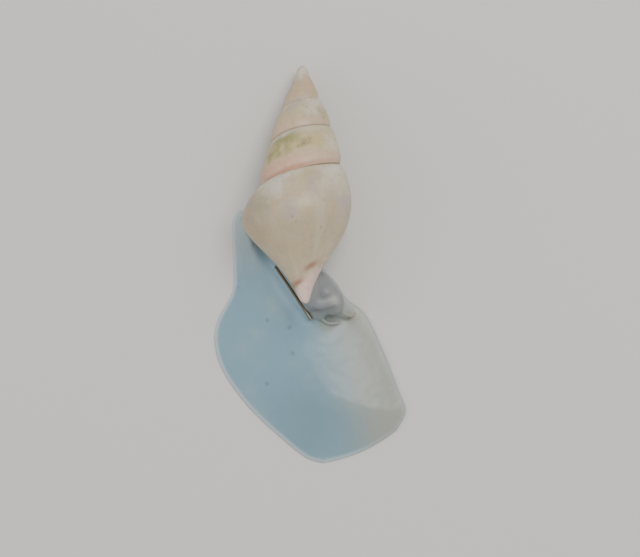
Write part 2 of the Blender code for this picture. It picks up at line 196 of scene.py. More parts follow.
def wind(bm, first_turn, last_turn, columns, rows, first_share):
    """Winds a flat grid round the axis as one strip of shell, with the whorl's own map on it."""
    whorls = bm.loops.layers.uv["whorls"]
    for vert in flat_grid(bm, columns, rows):
        turn = first_turn + (last_turn - first_turn) * (vert.co.x + 1) / 2
        along = along_whorl(turn, first_share + (1 - vert.co.y) / 2)
        for loop in vert.link_loops:
            loop[whorls].uv = (turn, below_suture(turn, along))
        vert.co = shell_point(turn, along)


def wind_ledge(bm, first_turn, last_turn, columns, rows):
    """Joins each whorl's upper edge to the whorl before it, as a narrow rounded shoulder.

    On the whorls' map it runs from 0 at the edge to -1 where it meets the whorl before.
    """
    whorls = bm.loops.layers.uv["whorls"]
    for vert in flat_grid(bm, columns, rows):
        turn = first_turn + (last_turn - first_turn) * (vert.co.x + 1) / 2
        inward = (1 - vert.co.y) / 2
        for loop in vert.link_loops:
            loop[whorls].uv = (turn, -inward)
        outer = shell_point(turn, along_whorl(turn, 0))
        inner = shell_point(turn - 1, along_whorl(turn - 1, 1))
        raised = LEDGE_ROUND * (outer - inner).length * math.sin(math.pi * inward)
        vert.co = outer.lerp(inner, inward) - SHELL_AXIS * raised


def slice_off(bm, verts, point, normal):
    """Cuts away what lies on the normal's side of a plane, and closes the cut."""
    parts = set(verts)
    for vert in verts:
        parts.update(vert.link_edges)
        parts.update(vert.link_faces)
    cut = bmesh.ops.bisect_plane(
        bm, geom=list(parts), dist=NO_GAP / 10, plane_co=point, plane_no=normal, clear_outer=True
    )
    edges = [e for e in cut["geom_cut"] if isinstance(e, bmesh.types.BMEdge)]
    return bmesh.ops.contextual_create(bm, geom=edges)["faces"] if edges else []


def new_piece(name, bm):
    mesh = bpy.data.meshes.new(name)
    bm.to_mesh(mesh)
    bm.free()
    mesh.shade_smooth()
    piece = bpy.data.objects.new(name, mesh)
    bpy.context.scene.collection.objects.link(piece)
    return piece


def apply_modifiers(piece):
    graph = bpy.context.evaluated_depsgraph_get()
    mesh = bpy.data.meshes.new_from_object(piece.evaluated_get(graph))
    piece.modifiers.clear()
    piece.data = mesh


def wind_shell():
    bm = bmesh.new()
    bm.loops.layers.uv.new("whorls")
    wind(bm, LIP_TURN - TURNS, LIP_TURN, round(TURNS * FINE_COLUMNS), WHORL_ROWS, 0)
    wind(bm, LIP_TURN - 1, LIP_TURN, FINE_COLUMNS, BASE_ROWS, 1)
    ledge_turns = TURNS - 1
    wind_ledge(bm, LIP_TURN - ledge_turns, LIP_TURN, round(ledge_turns * FINE_COLUMNS), LEDGE_ROWS)
    bmesh.ops.remove_doubles(bm, verts=bm.verts, dist=NO_GAP)
    bmesh.ops.dissolve_degenerate(bm, edges=bm.edges, dist=NO_GAP / 10)
    bmesh.ops.holes_fill(bm, edges=[e for e in bm.edges if e.is_boundary], sides=0)
    bmesh.ops.recalc_face_normals(bm, faces=bm.faces)
    return bm


ACROSS_MOUTH = SHELL_UP * math.cos(APERTURE_ANGLE) + SHELL_LEFT * math.sin(APERTURE_ANGLE)
MOUTH_AT = APEX + SHELL_AXIS * APERTURE_FROM_APEX + ACROSS_MOUTH * APERTURE_DEPTH
MOUTH_NORMAL = ACROSS_MOUTH * math.cos(APERTURE_LEAN) + SHELL_AXIS * math.sin(APERTURE_LEAN)
bm = wind_shell()
mouth = slice_off(bm, bm.verts, MOUTH_AT, MOUTH_NORMAL)
bmesh.ops.inset_region(bm, faces=mouth, thickness=LIP_THICKNESS, use_even_offset=True)
mouth = bmesh.ops.triangulate(bm, faces=mouth, ngon_method="BEAUTY")["faces"]
for vert in {vert for face in mouth for vert in face.verts}:
    along = (vert.co - APEX).dot(SHELL_AXIS)
    open_wide = smoothstep(along, HOLLOW_STARTS, HOLLOW_FULL)
    open_wide -= 0.85 * smoothstep(along, CANAL_STARTS, CANAL_FULL)
    vert.co -= MOUTH_NORMAL * MOUTH_HOLLOW * (0.1 + 0.9 * open_wide)
slice_off(bm, bm.verts, Vector((0, 0, 0)), Vector((0, 0, -1)))
bmesh.ops.recalc_face_normals(bm, faces=bm.faces)
shell = new_piece("shell_whorls", bm)


class Value:
    """The output of a shader node, which Python's own signs can reckon with."""

    def __init__(self, finish, socket):
        self.finish = finish
        self.socket = socket

    def reckon(self, operation, a, b):
        return self.finish.node("ShaderNodeMath", {"operation": operation}, {0: a, 1: b})

    def __add__(self, other):
        return self.reckon("ADD", self, other)

    def __radd__(self, other):
        return self.reckon("ADD", other, self)

    def __sub__(self, other):
        return self.reckon("SUBTRACT", self, other)

    def __rsub__(self, other):
        return self.reckon("SUBTRACT", other, self)

    def __mul__(self, other):
        return self.reckon("MULTIPLY", self, other)

    def __rmul__(self, other):
        return self.reckon("MULTIPLY", other, self)


class Finish:
    """A material, with its shader's fixed values given by name."""

    def __init__(self, name, **fixed):
        self.material = bpy.data.materials.new(name)
        self.material.use_nodes = True
        self.tree = self.material.node_tree
        self.shader = self.tree.nodes["Principled BSDF"]
        for socket, value in fixed.items():
            self.shader.inputs[socket.replace("_", " ")].default_value = value

    def join(self, socket, value):
        if isinstance(value, Value):
            self.tree.links.new(value.socket, socket)
        else:
            socket.default_value = value

    def node(self, kind, settings, inputs, output=0):
        made = self.tree.nodes.new(kind)
        for name, setting in settings.items():
            setattr(made, name, setting)
        for key, value in inputs.items():
            self.join(made.inputs[key], value)
        return Value(self, made.outputs[output])

    def position(self):
        return self.node("ShaderNodeTexCoord", {}, {}, "Object")

    def part_of(self, vector, axis):
        return self.node("ShaderNodeSeparateXYZ", {}, {0: vector}, axis)

    def attribute(self, name):
        return self.node("ShaderNodeAttribute", {"attribute_name": name}, {}, "Fac")

    def noise(self, vector, scale, detail=3.0, roughness=0.55):
        inputs = {"Vector": vector, "Scale": scale, "Detail": detail, "Roughness": roughness}
        return self.node("ShaderNodeTexNoise", {}, inputs, "Fac")

    def ramp(self, value, low, high):
        """0 below low and 1 above high, or the other way round if low is the greater."""
        inputs = {"Value": value, "From Min": low, "From Max": high}
        return self.node("ShaderNodeMapRange", {"interpolation_type": "SMOOTHSTEP"}, inputs)

    def band(self, value, middle, width):
        """1 at the middle, falling to 0 a width away on both sides."""
        away = self.node("ShaderNodeMath", {"operation": "ABSOLUTE"}, {0: value - middle})
        return self.ramp(away, width, 0.0)

    def near(self, vector, point, radius):
        """1 at a point of the piece, falling to 0 at a radius from it, both in millimetres."""
        inputs = {0: vector, 1: tuple(Vector(point) * MM)}
        away = self.node("ShaderNodeVectorMath", {"operation": "DISTANCE"}, inputs, "Value")
        return self.ramp(away, radius * MM, 0.0)

    def dot(self, vector, way):
        inputs = {0: vector, 1: tuple(way)}
        return self.node("ShaderNodeVectorMath", {"operation": "DOT_PRODUCT"}, inputs, "Value")

    def mix(self, first, second, share):
        inputs = {"Factor": share, 6: first, 7: second}
        return self.node("ShaderNodeMix", {"data_type": "RGBA"}, inputs, 2)

    def stretch(self, vector, scale):
        return self.node("ShaderNodeVectorMath", {"operation": "MULTIPLY"}, {0: vector, 1: scale})

    def ruffle(self, vector, scale, reach):
        """The same places moved about by up to half this far, which makes edges ragged."""
        inputs = {"Vector": vector, "Scale": scale, "Detail": 4.0}
        moved = self.node("ShaderNodeTexNoise", {}, inputs, "Color")
        inputs = {0: moved, 1: (reach, reach, reach), 2: (-reach / 2, -reach / 2, -reach / 2)}
        moved = self.node("ShaderNodeVectorMath", {"operation": "MULTIPLY_ADD"}, inputs)
        return self.node("ShaderNodeVectorMath", {"operation": "ADD"}, {0: vector, 1: moved})

    def bump(self, height, depth):
        """Fine relief, in metres at a height of 1."""
        inputs = {"Height": height, "Distance": depth, "Strength": 1.0}
        self.join(self.shader.inputs["Normal"], self.node("ShaderNodeBump", {}, inputs))

    def wear(self, piece):
        piece.data.materials.clear()
        piece.data.materials.append(self.material)


def paint(red, green, blue):
    """A colour as the eye names it, from 0 to 255, made linear."""
    channels = []
    for value in (red, green, blue):
        x = value / 255
        channels.append(x / 12.92 if x <= 0.04045 else ((x + 0.055) / 1.055) ** 2.4)
    return (*channels, 1.0)


CREAM = paint(192, 177, 149)
PALE = paint(203, 197, 182)
BEIGE = paint(177, 158, 126)
SALMON = paint(205, 156, 130)
RUST = paint(176, 126, 96)
SUTURE_BROWN = paint(112, 86, 66)
OLIVE = paint(136, 134, 76)
DARK_OLIVE = paint(104, 98, 62)
TAN = paint(188, 166, 110)
LILAC = paint(166, 156, 150)
ROSE = paint(214, 186, 172)
GREY_TAN = paint(150, 141, 118)
MARK_BROWN = paint(146, 108, 84)
# Painted shade on the left of the body whorl: its middle and reach, in millimetres
PAINTED_SHADE_LEFT = (-8.4, 8.8, 0), 4.0
CRUST = (-1.1, 20.2, 0), 1.5
PALE_PATCHES = (
    (-5.8, 12.2, 3.2), (3.4, 14.8, 3.2), (4.2, 20.5, 3.0), (0.4, 26.9, 2.8), (1.9, 27.2, 2.2),
    (-1.6, 33.6, 2.4),
)
LILAC_PATCHES = ((5.7, 9.4, 3.2), (-3.2, 25.9, 2.4), (-3.6, 8.0, 2.2), (0.6, 12.2, 2.0))
OLIVE_PATCHES = (
    (-6.3, 18.6, 3.2), (-4.2, 20.4, 3.0), (-4.8, 19.7, 2.2), (-3.0, 21.0, 2.0), (1.2, 25.6, 1.6),
)
SPECKS = ((2.2, 9.5), (-2.9, 6.6), (-2.4, 5.8), (1.9, 5.0), (-0.6, 26.4), (2.3, 24.7))
SPECK_RADIUS = 0.42
CANAL_MARKS = ((0.2, -1.2), (-2.1, -4.1))
MARK_SLOPE = 0.55
MARK_WIDTH = 0.95 * MM
MARK_REACH = 2.2 * MM

lime = Finish("shell_lime", Roughness=0.45, Coat_Weight=0.06, Coat_Roughness=0.3)
spot = lime.position()
spot_x = lime.part_of(spot, 0)
spot_y = lime.part_of(spot, 1)
straight_down = lime.stretch(spot, (1.0, 1.0, 0.0))
from_above = lime.stretch(lime.ruffle(spot, 420.0, 5.5 * MM), (1.0, 1.0, 0.0))
whorl_map = lime.node("ShaderNodeUVMap", {"uv_map": "whorls"}, {})
turn = lime.part_of(whorl_map, 0)
down = lime.part_of(whorl_map, 1)
mottle = lime.noise(spot, 260.0)
cloud = lime.noise(spot, 90.0, 2.0)
ragged = lime.noise(spot, 520.0, 4.0)
grain = lime.noise(spot, 1500.0, 3.0)
streaks = lime.noise(lime.stretch(whorl_map, (14.0, 0.5, 1.0)), 1.0, 4.0)
fine_lines = lime.noise(lime.stretch(whorl_map, (120.0, 0.8, 1.0)), 1.0, 2.0)

# The lime itself, cream and beige, with pale streaks along the growth lines, and painted shade on
# the left of the body whorl
colour = lime.mix(BEIGE, CREAM, lime.ramp(cloud, 0.35, 0.62))
colour = lime.mix(colour, PALE, lime.ramp(streaks, 0.48, 0.8) * 0.45)
colour = lime.mix(colour, LILAC, lime.ramp(mottle, 0.52, 0.8) * 0.35)
# Painted shade: the left side of the body whorl, away from the light, is darkened to grey-tan
colour = lime.mix(colour, GREY_TAN, lime.near(from_above, *PAINTED_SHADE_LEFT) * 0.75)
spire = lime.ramp(turn, LIP_TURN - 0.9, LIP_TURN - 1.1)
tan_share = 0.25 + lime.ramp(turn, -2.3, -1.5) * 0.5
colour = lime.mix(colour, TAN, lime.band(down, 0.45, 0.45) * spire * tan_share)
colour = lime.mix(colour, SALMON, lime.ramp(turn, -2.3, -2.6) * 0.18)

# Patches of wear and stain
stains = (
    (PALE_PATCHES, PALE, 0.35 + mottle * 0.7),
    (LILAC_PATCHES, LILAC, 0.25 + mottle * 0.8),
    (OLIVE_PATCHES, OLIVE, lime.ramp(ragged, 0.3, 0.65) * 0.9),
)
for patches, stain, strength in stains:
    for x, y, radius in patches:
        patch = lime.near(from_above, (x, y, 0), radius)
        colour = lime.mix(colour, stain, patch * strength)

# Salmon above each suture and a pale collar below it
not_tip = lime.ramp(turn, -3.4, -0.4)
pink = 0.45 + lime.ramp(spot_x, 3 * MM, -2 * MM) * 0.35
colour = lime.mix(colour, SALMON, lime.ramp(down, 0.6, 0.82) * spire * not_tip * pink)
colour = lime.mix(colour, PALE, lime.band(down, 0.1, 0.12) * lime.ramp(cloud, 0.4, 0.6) * 0.5)
last_spire_turn = lime.ramp(turn, -1.4, -0.8)
rust = lime.band(down, 0.935, 0.07) * spire * last_spire_turn
colour = lime.mix(colour, RUST, rust * 0.8)

# Specks, a crust, and the dark line of the sutures
for x, y in SPECKS:
    speck = lime.near(straight_down, (x, y, 0), SPECK_RADIUS)
    colour = lime.mix(colour, DARK_OLIVE, speck * ragged * 0.8)
crust = lime.near(from_above, *CRUST) * lime.ramp(ragged, 0.4, 0.6)
colour = lime.mix(colour, DARK_OLIVE, crust * 0.75)
not_lip = lime.ramp(turn, 0.05, -0.15)
suture_lines = (
    lime.ramp(down, 0.02, 0.005) * not_tip * not_lip,
    lime.ramp(down, -0.7, -0.95),
    lime.ramp(down, 0.968, 0.986) * spire * not_tip,
)
for line in suture_lines:
    colour = lime.mix(colour, SUTURE_BROWN, line * 0.85)

# The rosy canal, a fine grain, and two brown marks across the base
colour = lime.mix(colour, ROSE, lime.ramp(down, 1.5, 1.62) * 0.8)
colour = lime.mix(colour, GREY_TAN, lime.ramp(grain, 0.48, 0.72) * 0.35)
for x, y in CANAL_MARKS:
    mark = lime.band(spot_y - spot_x * MARK_SLOPE, (y - x * MARK_SLOPE) * MM, MARK_WIDTH)
    mark = mark * lime.band(spot_x, x * MM, MARK_REACH)
    colour = lime.mix(colour, MARK_BROWN, mark * lime.ramp(ragged, 0.2, 0.45))
lime.join(lime.shader.inputs["Base Color"], colour)
lime.join(lime.shader.inputs["Roughness"], 0.38 + mottle * 0.2)
lime.bump(fine_lines * 0.6 + mottle * 0.4, 0.04 * MM)
lime.wear(shell)
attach(shell, "root")
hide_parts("shell")

# Operculum
# The horny door, a thin oval plate that stands on edge by the lip. It is laid down in rings
# round its lower end and is brown and a little see-through at the rim.

OPERCULUM_BACK = Vector((-6.081, -0.45, 5.9)) * MM
OPERCULUM_FRONT = Vector((0.219, -9.85, 6.6)) * MM
OPERCULUM_WIDTH = 5.6 * MM
OPERCULUM_THICKNESS = 0.4 * MM
OPERCULUM_DROP = 2.2 * MM
OPERCULUM_RINGS = 9
RING_WIDTH = 0.1
RING_HEIGHT = 0.03
OPERCULUM_DOME = 0.1
OPERCULUM_TAPER = 0.12
OPERCULUM_OUTSIDE = 0.42 * MM
OPERCULUM_SEGMENTS = 72
BESIDE_OPERCULUM = Vector((0, 0, 1)).cross(OPERCULUM_BACK - OPERCULUM_FRONT).normalized()

bm = bmesh.new()
bmesh.ops.create_circle(bm, cap_ends=True, segments=OPERCULUM_SEGMENTS, radius=1.0)
for ring in range(OPERCULUM_RINGS):
    middle = max(bm.faces, key=lambda f: len(f.verts))
    bmesh.ops.inset_region(bm, faces=[middle], thickness=RING_WIDTH)
long_way = (OPERCULUM_FRONT - OPERCULUM_BACK).normalized()
low_way = long_way.cross(BESIDE_OPERCULUM)
if low_way.z > 0:
    low_way = -low_way
plate_middle = (OPERCULUM_BACK + OPERCULUM_FRONT) / 2 + low_way * OPERCULUM_DROP
plate_length = (OPERCULUM_FRONT - OPERCULUM_BACK).length
ring_layer = bm.verts.layers.float.new("ring")
for vert in bm.verts:
    x, y = vert.co.x, vert.co.y
    far = math.hypot(x, y)
    vert[ring_layer] = far
    ridge = RING_HEIGHT * math.cos(far * math.pi * OPERCULUM_RINGS)
    ridge += OPERCULUM_DOME * (1 - far * far)
    vert.co = (
        plate_middle
        + long_way * (x * plate_length / 2)
        + low_way * (y * (1 - OPERCULUM_TAPER * x) * OPERCULUM_WIDTH / 2)
        + BESIDE_OPERCULUM * (OPERCULUM_OUTSIDE + ridge * MM)
    )
bmesh.ops.recalc_face_normals(bm, faces=bm.faces)
if bm.faces[0].normal.dot(BESIDE_OPERCULUM) < 0:
    bmesh.ops.reverse_faces(bm, faces=bm.faces)
bmesh.ops.solidify(bm, geom=bm.faces[:], thickness=OPERCULUM_THICKNESS)
bmesh.ops.recalc_face_normals(bm, faces=bm.faces)
operculum = new_piece("operculum_plate", bm)

DARK_HORN = paint(84, 72, 48)
BROWN_HORN = paint(128, 112, 76)
PALE_HORN = paint(196, 190, 172)

horn = Finish("horn", Roughness=0.4, Coat_Weight=0.2)
horn_spot = horn.position()
rings = horn.noise(horn.attribute("ring") * 14.0 + horn.noise(horn_spot, 120.0) * 0.6, 1.0)
colour = horn.mix(DARK_HORN, BROWN_HORN, horn.ramp(rings, 0.35, 0.65))
plate_side = OPERCULUM_FRONT.dot(BESIDE_OPERCULUM)
beside_plate = horn.dot(horn_spot, BESIDE_OPERCULUM) - plate_side
inner_face = horn.ramp(beside_plate, 0.3 * MM, 0.1 * MM)
front = horn.near(horn_spot, OPERCULUM_FRONT / MM, 4.5)
colour = horn.mix(colour, PALE_HORN, inner_face * front * 0.8)
horn.join(horn.shader.inputs["Base Color"], colour)
horn.bump(rings, 0.03 * MM)
horn.wear(operculum)
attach(operculum, "root")
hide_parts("operculum")

# Skin
# Foot, body, head, feelers and breathing tube are one piece of soft, wet muscle under one
# skin. The foot is spread flat, thin at its margin, and the sole lies on the floor.

FOOT_SHIFT = Vector((-0.081, 0.05))
FOOT_LEFT = (
    (-12.7, 9.5), (-13.7, 7.0), (-13.4, -1.0), (-13.7, -5.0), (-16.1, -9.7), (-16.7, -13.8),
    (-15.1, -19.0), (-10.5, -25.3), (-4.6, -30.8), (-0.6, -33.9), (2.2, -34.8),
)
FOOT_RIGHT = (
    (-12.7, 9.5), (-10.2, 8.0), (-6.2, 3.6), (-2.2, 0.9), (1.5, 0.0), (4.2, -3.1), (6.6, -6.2),
    (9.8, -8.9), (13.0, -15.5), (15.5, -22.0), (16.8, -25.8), (15.2, -29.1),
)
FRONT_BULGE = Vector((0.35, -0.9)) * MM
RIM_HEIGHT = 0.5 * MM
FOOT_THICKNESS = 2.55 * MM
MARGIN_WIDTH = 6.0 * MM
MOUND_FROM = Vector((-6.681, 2.45)) * MM
MOUND_TO = Vector((-1.481, -6.15)) * MM
MOUND_HEIGHT = 2.5 * MM
MOUND_WIDTH = 5.4 * MM
CREASE_FROM = Vector((-14.6, -5.6)) * MM
CREASE_TO = Vector((-12.5, -4.2)) * MM
CREASE_DEPTH = 0.25 * MM
CREASE_WIDTH = 0.35 * MM
SIDE_STEPS = 240
FRONT_STEPS = 100
FOOT_ROWS = 130
FOOT_COLUMNS = 90
SKIN_DETAIL = 0.21 * MM
SKIN_GAP = 0.08 * MM
STALK_AT = Vector((-3.381, 1.05, 4.4)) * MM
STALK_RADII = Vector((5.2, 9.9, 4.0)) * MM
WAIST_AT = Vector((-2.1, -2.2, 5.6)) * MM
WAIST_RADII = Vector((3.2, 4.0, 4.4)) * MM
NECK_AT = Vector((-0.781, -5.15, 6.4)) * MM
NECK_RADII = Vector((2.8, 3.6, 4.2)) * MM
CHIN_AT = Vector((1.0, -8.0, 3.9)) * MM
CHIN_RADII = Vector((2.2, 2.0, 2.2)) * MM
HEAD_AT = Vector((2.5, -5.3, 4.8)) * MM
HEAD_RADII = Vector((2.65, 4.55, 2.7)) * MM
HEAD_TURN = math.radians(36)
BROW_AT = Vector((2.6, -5.1, 6.1)) * MM
BROW_RADII = Vector((1.8, 1.5, 1.8)) * MM
BEHIND_PLATE = (
    (STALK_AT, STALK_RADII), (WAIST_AT, WAIST_RADII), (NECK_AT, NECK_RADII), (CHIN_AT, CHIN_RADII),
)
TUBE_SIDES = 24
TUBE_STEPS = 40
TENTACLE_PATHS = (
    ((1.6, -8.0, 4.9), (1.8, -9.5, 3.9), (3.2, -10.5, 3.15), (5.1, -10.4, 2.6)),
    ((4.9, -8.2, 4.7), (6.2, -9.0, 3.3), (7.2, -9.2, 2.3), (7.9, -8.6, 1.7)),
)
TENTACLE_RADII = (0.5, 0.36, 0.32, 0.24)
SIPHON_PATH = ((-0.3, -6.55, 8.2), (1.8, -7.3, 7.8), (4.3, -6.5, 7.35))
SIPHON_RADII = (1.15, 1.1, 1.1)
SIPHON_HOLLOW = 0.75
HOLLOW_STEPS = 6
FIRST_SMOOTHING = 3
BODY_SMOOTHING = 36
SIPHON_SMOOTHING = 4
BODY_REACH = 1.4
BODY_ABOVE = 1.5 * MM
BODY_FROM_MARGIN = 1.2 * MM
FEELER_KEPT_FROM = 12
FEELER_KEPT = 0.75 * MM
SIPHON_KEPT_FROM = 18
SIPHON_KEPT = 1.4 * MM
BROAD_RELIEF = 0.07 * MM
SMALL_RELIEF = 0.03 * MM
SOLE_HEIGHT = 0.3 * MM
PRESSED_ABOVE_FOOT = 0.3 * MM
PRESSED_REACH = 0.7 * MM


def curve_through(points, steps):
    """This many steps along the smooth curve through some points."""
    points = [Vector(p) for p in points]
    padded = [2 * points[0] - points[1]] + points + [2 * points[-1] - points[-2]]
    found = []
    for k in range(steps + 1):
        place = k / steps * (len(points) - 1)
        i = min(int(place), len(points) - 2)
        t = place - i
        a, b, c, d = padded[i:i + 4]
        cubic = (2 * a - 5 * b + 4 * c - d) * t * t + (3 * b - a - 3 * c + d) * t ** 3
        found.append(0.5 * (2 * b + (c - a) * t + cubic))
    return found


def evenly(points, count):
    """This many points, equally far apart along a run of points."""
    lengths = [0.0]
    for a, b in zip(points, points[1:]):
        lengths.append(lengths[-1] + (b - a).length)
    found = []
    i = 0
    for k in range(count):
        want = lengths[-1] * k / (count - 1)
        while i < len(points) - 2 and lengths[i + 1] < want:
            i += 1
        t = (want - lengths[i]) / (lengths[i + 1] - lengths[i])
        found.append(points[i].lerp(points[i + 1], t))
    return found


def foot_side(points):
    moved = [(Vector(p) + FOOT_SHIFT) * MM for p in points]
    return evenly(curve_through(moved, SIDE_STEPS), SIDE_STEPS + 1)


LEFT_SIDE = foot_side(FOOT_LEFT)
RIGHT_SIDE = foot_side(FOOT_RIGHT)


def foot_plan(t, s):
    """A point of the foot from above: t from tail to front, s from left to right."""
    place = t * (len(LEFT_SIDE) - 1)
    i = min(int(place), len(LEFT_SIDE) - 2)
    left = LEFT_SIDE[i].lerp(LEFT_SIDE[i + 1], place - i)
    right = RIGHT_SIDE[i].lerp(RIGHT_SIDE[i + 1], place - i)
    return left.lerp(right, s) + FRONT_BULGE * 4 * s * (1 - s) * smoothstep(t, 0.7, 1.0)


outline = [foot_plan(k / SIDE_STEPS, 0.0) for k in range(SIDE_STEPS)]
outline += [foot_plan(1.0, k / FRONT_STEPS) for k in range(FRONT_STEPS)]
outline += [foot_plan(1 - k / SIDE_STEPS, 1.0) for k in range(SIDE_STEPS)]
margin_tree = KDTree(len(outline))
for index, point in enumerate(outline):
    margin_tree.insert((point.x, point.y, 0.0), index)
margin_tree.balance()


def to_margin(point):
    return margin_tree.find((point.x, point.y, 0.0))[2]


def to_line(point, start, end):
    """Distance from above of a point to the line between two others."""
    line = end - start
    away = point.to_2d() - start
    return (away - line * min(max(away.dot(line) / line.length_squared, 0.0), 1.0)).length


def foot_height(point):
    crown = FOOT_THICKNESS * (1 - math.exp(-((to_margin(point) / MARGIN_WIDTH) ** 1.3)))
    mound = MOUND_HEIGHT * hump(to_line(point, MOUND_FROM, MOUND_TO), 0, MOUND_WIDTH)
    return RIM_HEIGHT + crown + mound * smoothstep(crown, 0.0, 0.4 * FOOT_THICKNESS)


def lay_foot(bm):
    verts = flat_grid(bm, FOOT_COLUMNS, FOOT_ROWS)
    for vert in verts:
        t = (0.5 + 0.5 * vert.co.y) ** 0.9
        s = 0.5 + 0.5 * math.sin(math.pi / 2 * vert.co.x)
        plan = foot_plan(t, s)
        vert.co = (plan.x, plan.y, foot_height(plan))
    bmesh.ops.remove_doubles(bm, verts=verts, dist=NO_GAP)
    rim = [e for e in bm.edges if e.is_boundary]
    skirt = bmesh.ops.extrude_edge_only(bm, edges=rim)["geom"]
    for vert in [v for v in skirt if isinstance(v, bmesh.types.BMVert)]:
        vert.co.z = 0.0
    low_edges = [e for e in skirt if isinstance(e, bmesh.types.BMEdge) and e.is_boundary]
    bmesh.ops.holes_fill(bm, edges=low_edges, sides=0)


def add_ball(bm, at, radii, turn=0.0):
    place = Matrix.Translation(at) @ Matrix.Rotation(turn, 4, "Z") @ Matrix.Diagonal((*radii, 1.0))
    ball = bmesh.ops.create_uvsphere(bm, u_segments=64, v_segments=40, radius=1.0, matrix=place)
    return ball["verts"]


def add_tube(bm, path, radii, hollow=0.0):
    """A round tube along a path, built from a grid that is rolled up. Hollow opens its far end."""
    points = curve_through([Vector(p) * MM for p in path], TUBE_STEPS)
    sizes = [r * MM for r in radii]
    if hollow:
        points += [points[-1], points[TUBE_STEPS - HOLLOW_STEPS]]
    verts = flat_grid(bm, TUBE_SIDES, len(points) - 1)
    for vert in verts:
        k = round((vert.co.y + 1) / 2 * (len(points) - 1))
        i = min(k, TUBE_STEPS)
        ahead = (points[min(i + 1, TUBE_STEPS)] - points[max(i - 1, 0)]).normalized()
        beside = ahead.cross(Vector((0, 0, 1))).normalized()
        place = i / TUBE_STEPS * (len(sizes) - 1)
        j = min(int(place), len(sizes) - 2)
        radius = sizes[j] + (sizes[j + 1] - sizes[j]) * (place - j)
        if k > TUBE_STEPS:
            radius = hollow * MM
        angle = math.pi * vert.co.x
        round_way = beside * math.cos(angle) + beside.cross(ahead) * math.sin(angle)
        vert.co = points[k] + round_way * radius
    bmesh.ops.remove_doubles(bm, verts=verts, dist=NO_GAP)
    ends = [e for v in verts if v.is_valid for e in v.link_edges if e.is_boundary]
    bmesh.ops.holes_fill(bm, edges=list(set(ends)), sides=0)


# The forms of flesh overlap and become one skin, and those behind the door are cut flat there
bm = bmesh.new()
for at, radii in BEHIND_PLATE:
    ball = add_ball(bm, at, radii)
    slice_off(bm, ball, OPERCULUM_FRONT - BESIDE_OPERCULUM * SKIN_GAP, BESIDE_OPERCULUM)
lay_foot(bm)
add_ball(bm, HEAD_AT, HEAD_RADII, HEAD_TURN)
add_ball(bm, BROW_AT, BROW_RADII)
for path in TENTACLE_PATHS:
    add_tube(bm, path, TENTACLE_RADII)
add_tube(bm, SIPHON_PATH, SIPHON_RADII, SIPHON_HOLLOW)
bmesh.ops.recalc_face_normals(bm, faces=bm.faces)
skin = new_piece("skin", bm)
remesh = skin.modifiers.new("one_skin", "REMESH")
remesh.mode = "VOXEL"
remesh.voxel_size = SKIN_DETAIL
apply_modifiers(skin)


def smooth(bm, verts):
    bmesh.ops.smooth_vert(
        bm, verts=verts, factor=0.5, use_axis_x=True, use_axis_y=True, use_axis_z=True
    )


def ball_depth(point, at, radii):
    """Below 1 inside an oval, and above 1 outside it."""
    x, y, z = point - at
    return math.sqrt((x / radii.x) ** 2 + (y / radii.y) ** 2 + (z / radii.z) ** 2)


def tree_along(paths, first):
    """Finds the nearest point of some paths, from this step to their ends."""
    points = [p for path in paths for p in curve_through(path, TUBE_STEPS)[first:]]
    tree = KDTree(len(points))
    for index, point in enumerate(points):
        tree.insert(point * MM, index)
    tree.balance()
    return tree


# The body is smoothed most, the breathing tube a little, and the thin feelers hardly
bm = bmesh.new()
bm.from_mesh(skin.data)
for step in range(FIRST_SMOOTHING):
    smooth(bm, bm.verts)
feeler_tree = tree_along(TENTACLE_PATHS, FEELER_KEPT_FROM)
siphon_tree = tree_along((SIPHON_PATH,), SIPHON_KEPT_FROM)
body = set()
tube = set()
for vert in bm.verts:
    nearest = min(
        ball_depth(vert.co, STALK_AT, STALK_RADII),
        ball_depth(vert.co, NECK_AT, NECK_RADII),
        ball_depth(vert.co, HEAD_AT, HEAD_RADII),
    )
    high = vert.co.z > BODY_ABOVE
    if nearest < BODY_REACH and high and to_margin(vert.co) > BODY_FROM_MARGIN:
        if siphon_tree.find(vert.co)[2] < SIPHON_KEPT:
            tube.add(vert)
        elif feeler_tree.find(vert.co)[2] > FEELER_KEPT:
            body.add(vert)
for step in range(BODY_SMOOTHING):
    soft = body | tube if step < SIPHON_SMOOTHING else body
    smooth(bm, list(soft))
bm.normal_update()
for vert in bm.verts:
    if vert.co.z > SOLE_HEIGHT:
        broad = noise.noise(vert.co * 190) * BROAD_RELIEF
        small = noise.noise(vert.co * 700) * SMALL_RELIEF
        relief = (broad + small) * smoothstep(to_margin(vert.co), 0, 3 * MM)
        vert.co += vert.normal * relief
        from_crease = to_line(vert.co, CREASE_FROM, CREASE_TO)
        vert.co.z -= CREASE_DEPTH * hump(from_crease, 0, CREASE_WIDTH)
    beyond_plate = (vert.co - OPERCULUM_FRONT).dot(BESIDE_OPERCULUM) + SKIN_GAP
    above_foot = vert.co.z - foot_height(vert.co)
    if vert in body and 0 < beyond_plate < PRESSED_REACH and above_foot > PRESSED_ABOVE_FOOT:
        vert.co -= BESIDE_OPERCULUM * beyond_plate
    vert.co.z = max(vert.co.z, 0.0)
bmesh.ops.recalc_face_normals(bm, faces=bm.faces)
bpy.data.objects.remove(skin, do_unlink=True)
skin = new_piece("skin", bm)

# Room for the shell, though in the tight corner of its mouth the gap isn't kept everywhere
bm = bmesh.new()
bm.from_mesh(shell.data)
bm.normal_update()
for vert in bm.verts:
    vert.co += vert.normal * SKIN_GAP
shell_room = new_piece("shell_room", bm)
cut = skin.modifiers.new("room_for_the_shell", "BOOLEAN")
cut.operation = "DIFFERENCE"
cut.solver = "MANIFOLD"
cut.object = shell_room
apply_modifiers(skin)
bpy.data.objects.remove(shell_room, do_unlink=True)

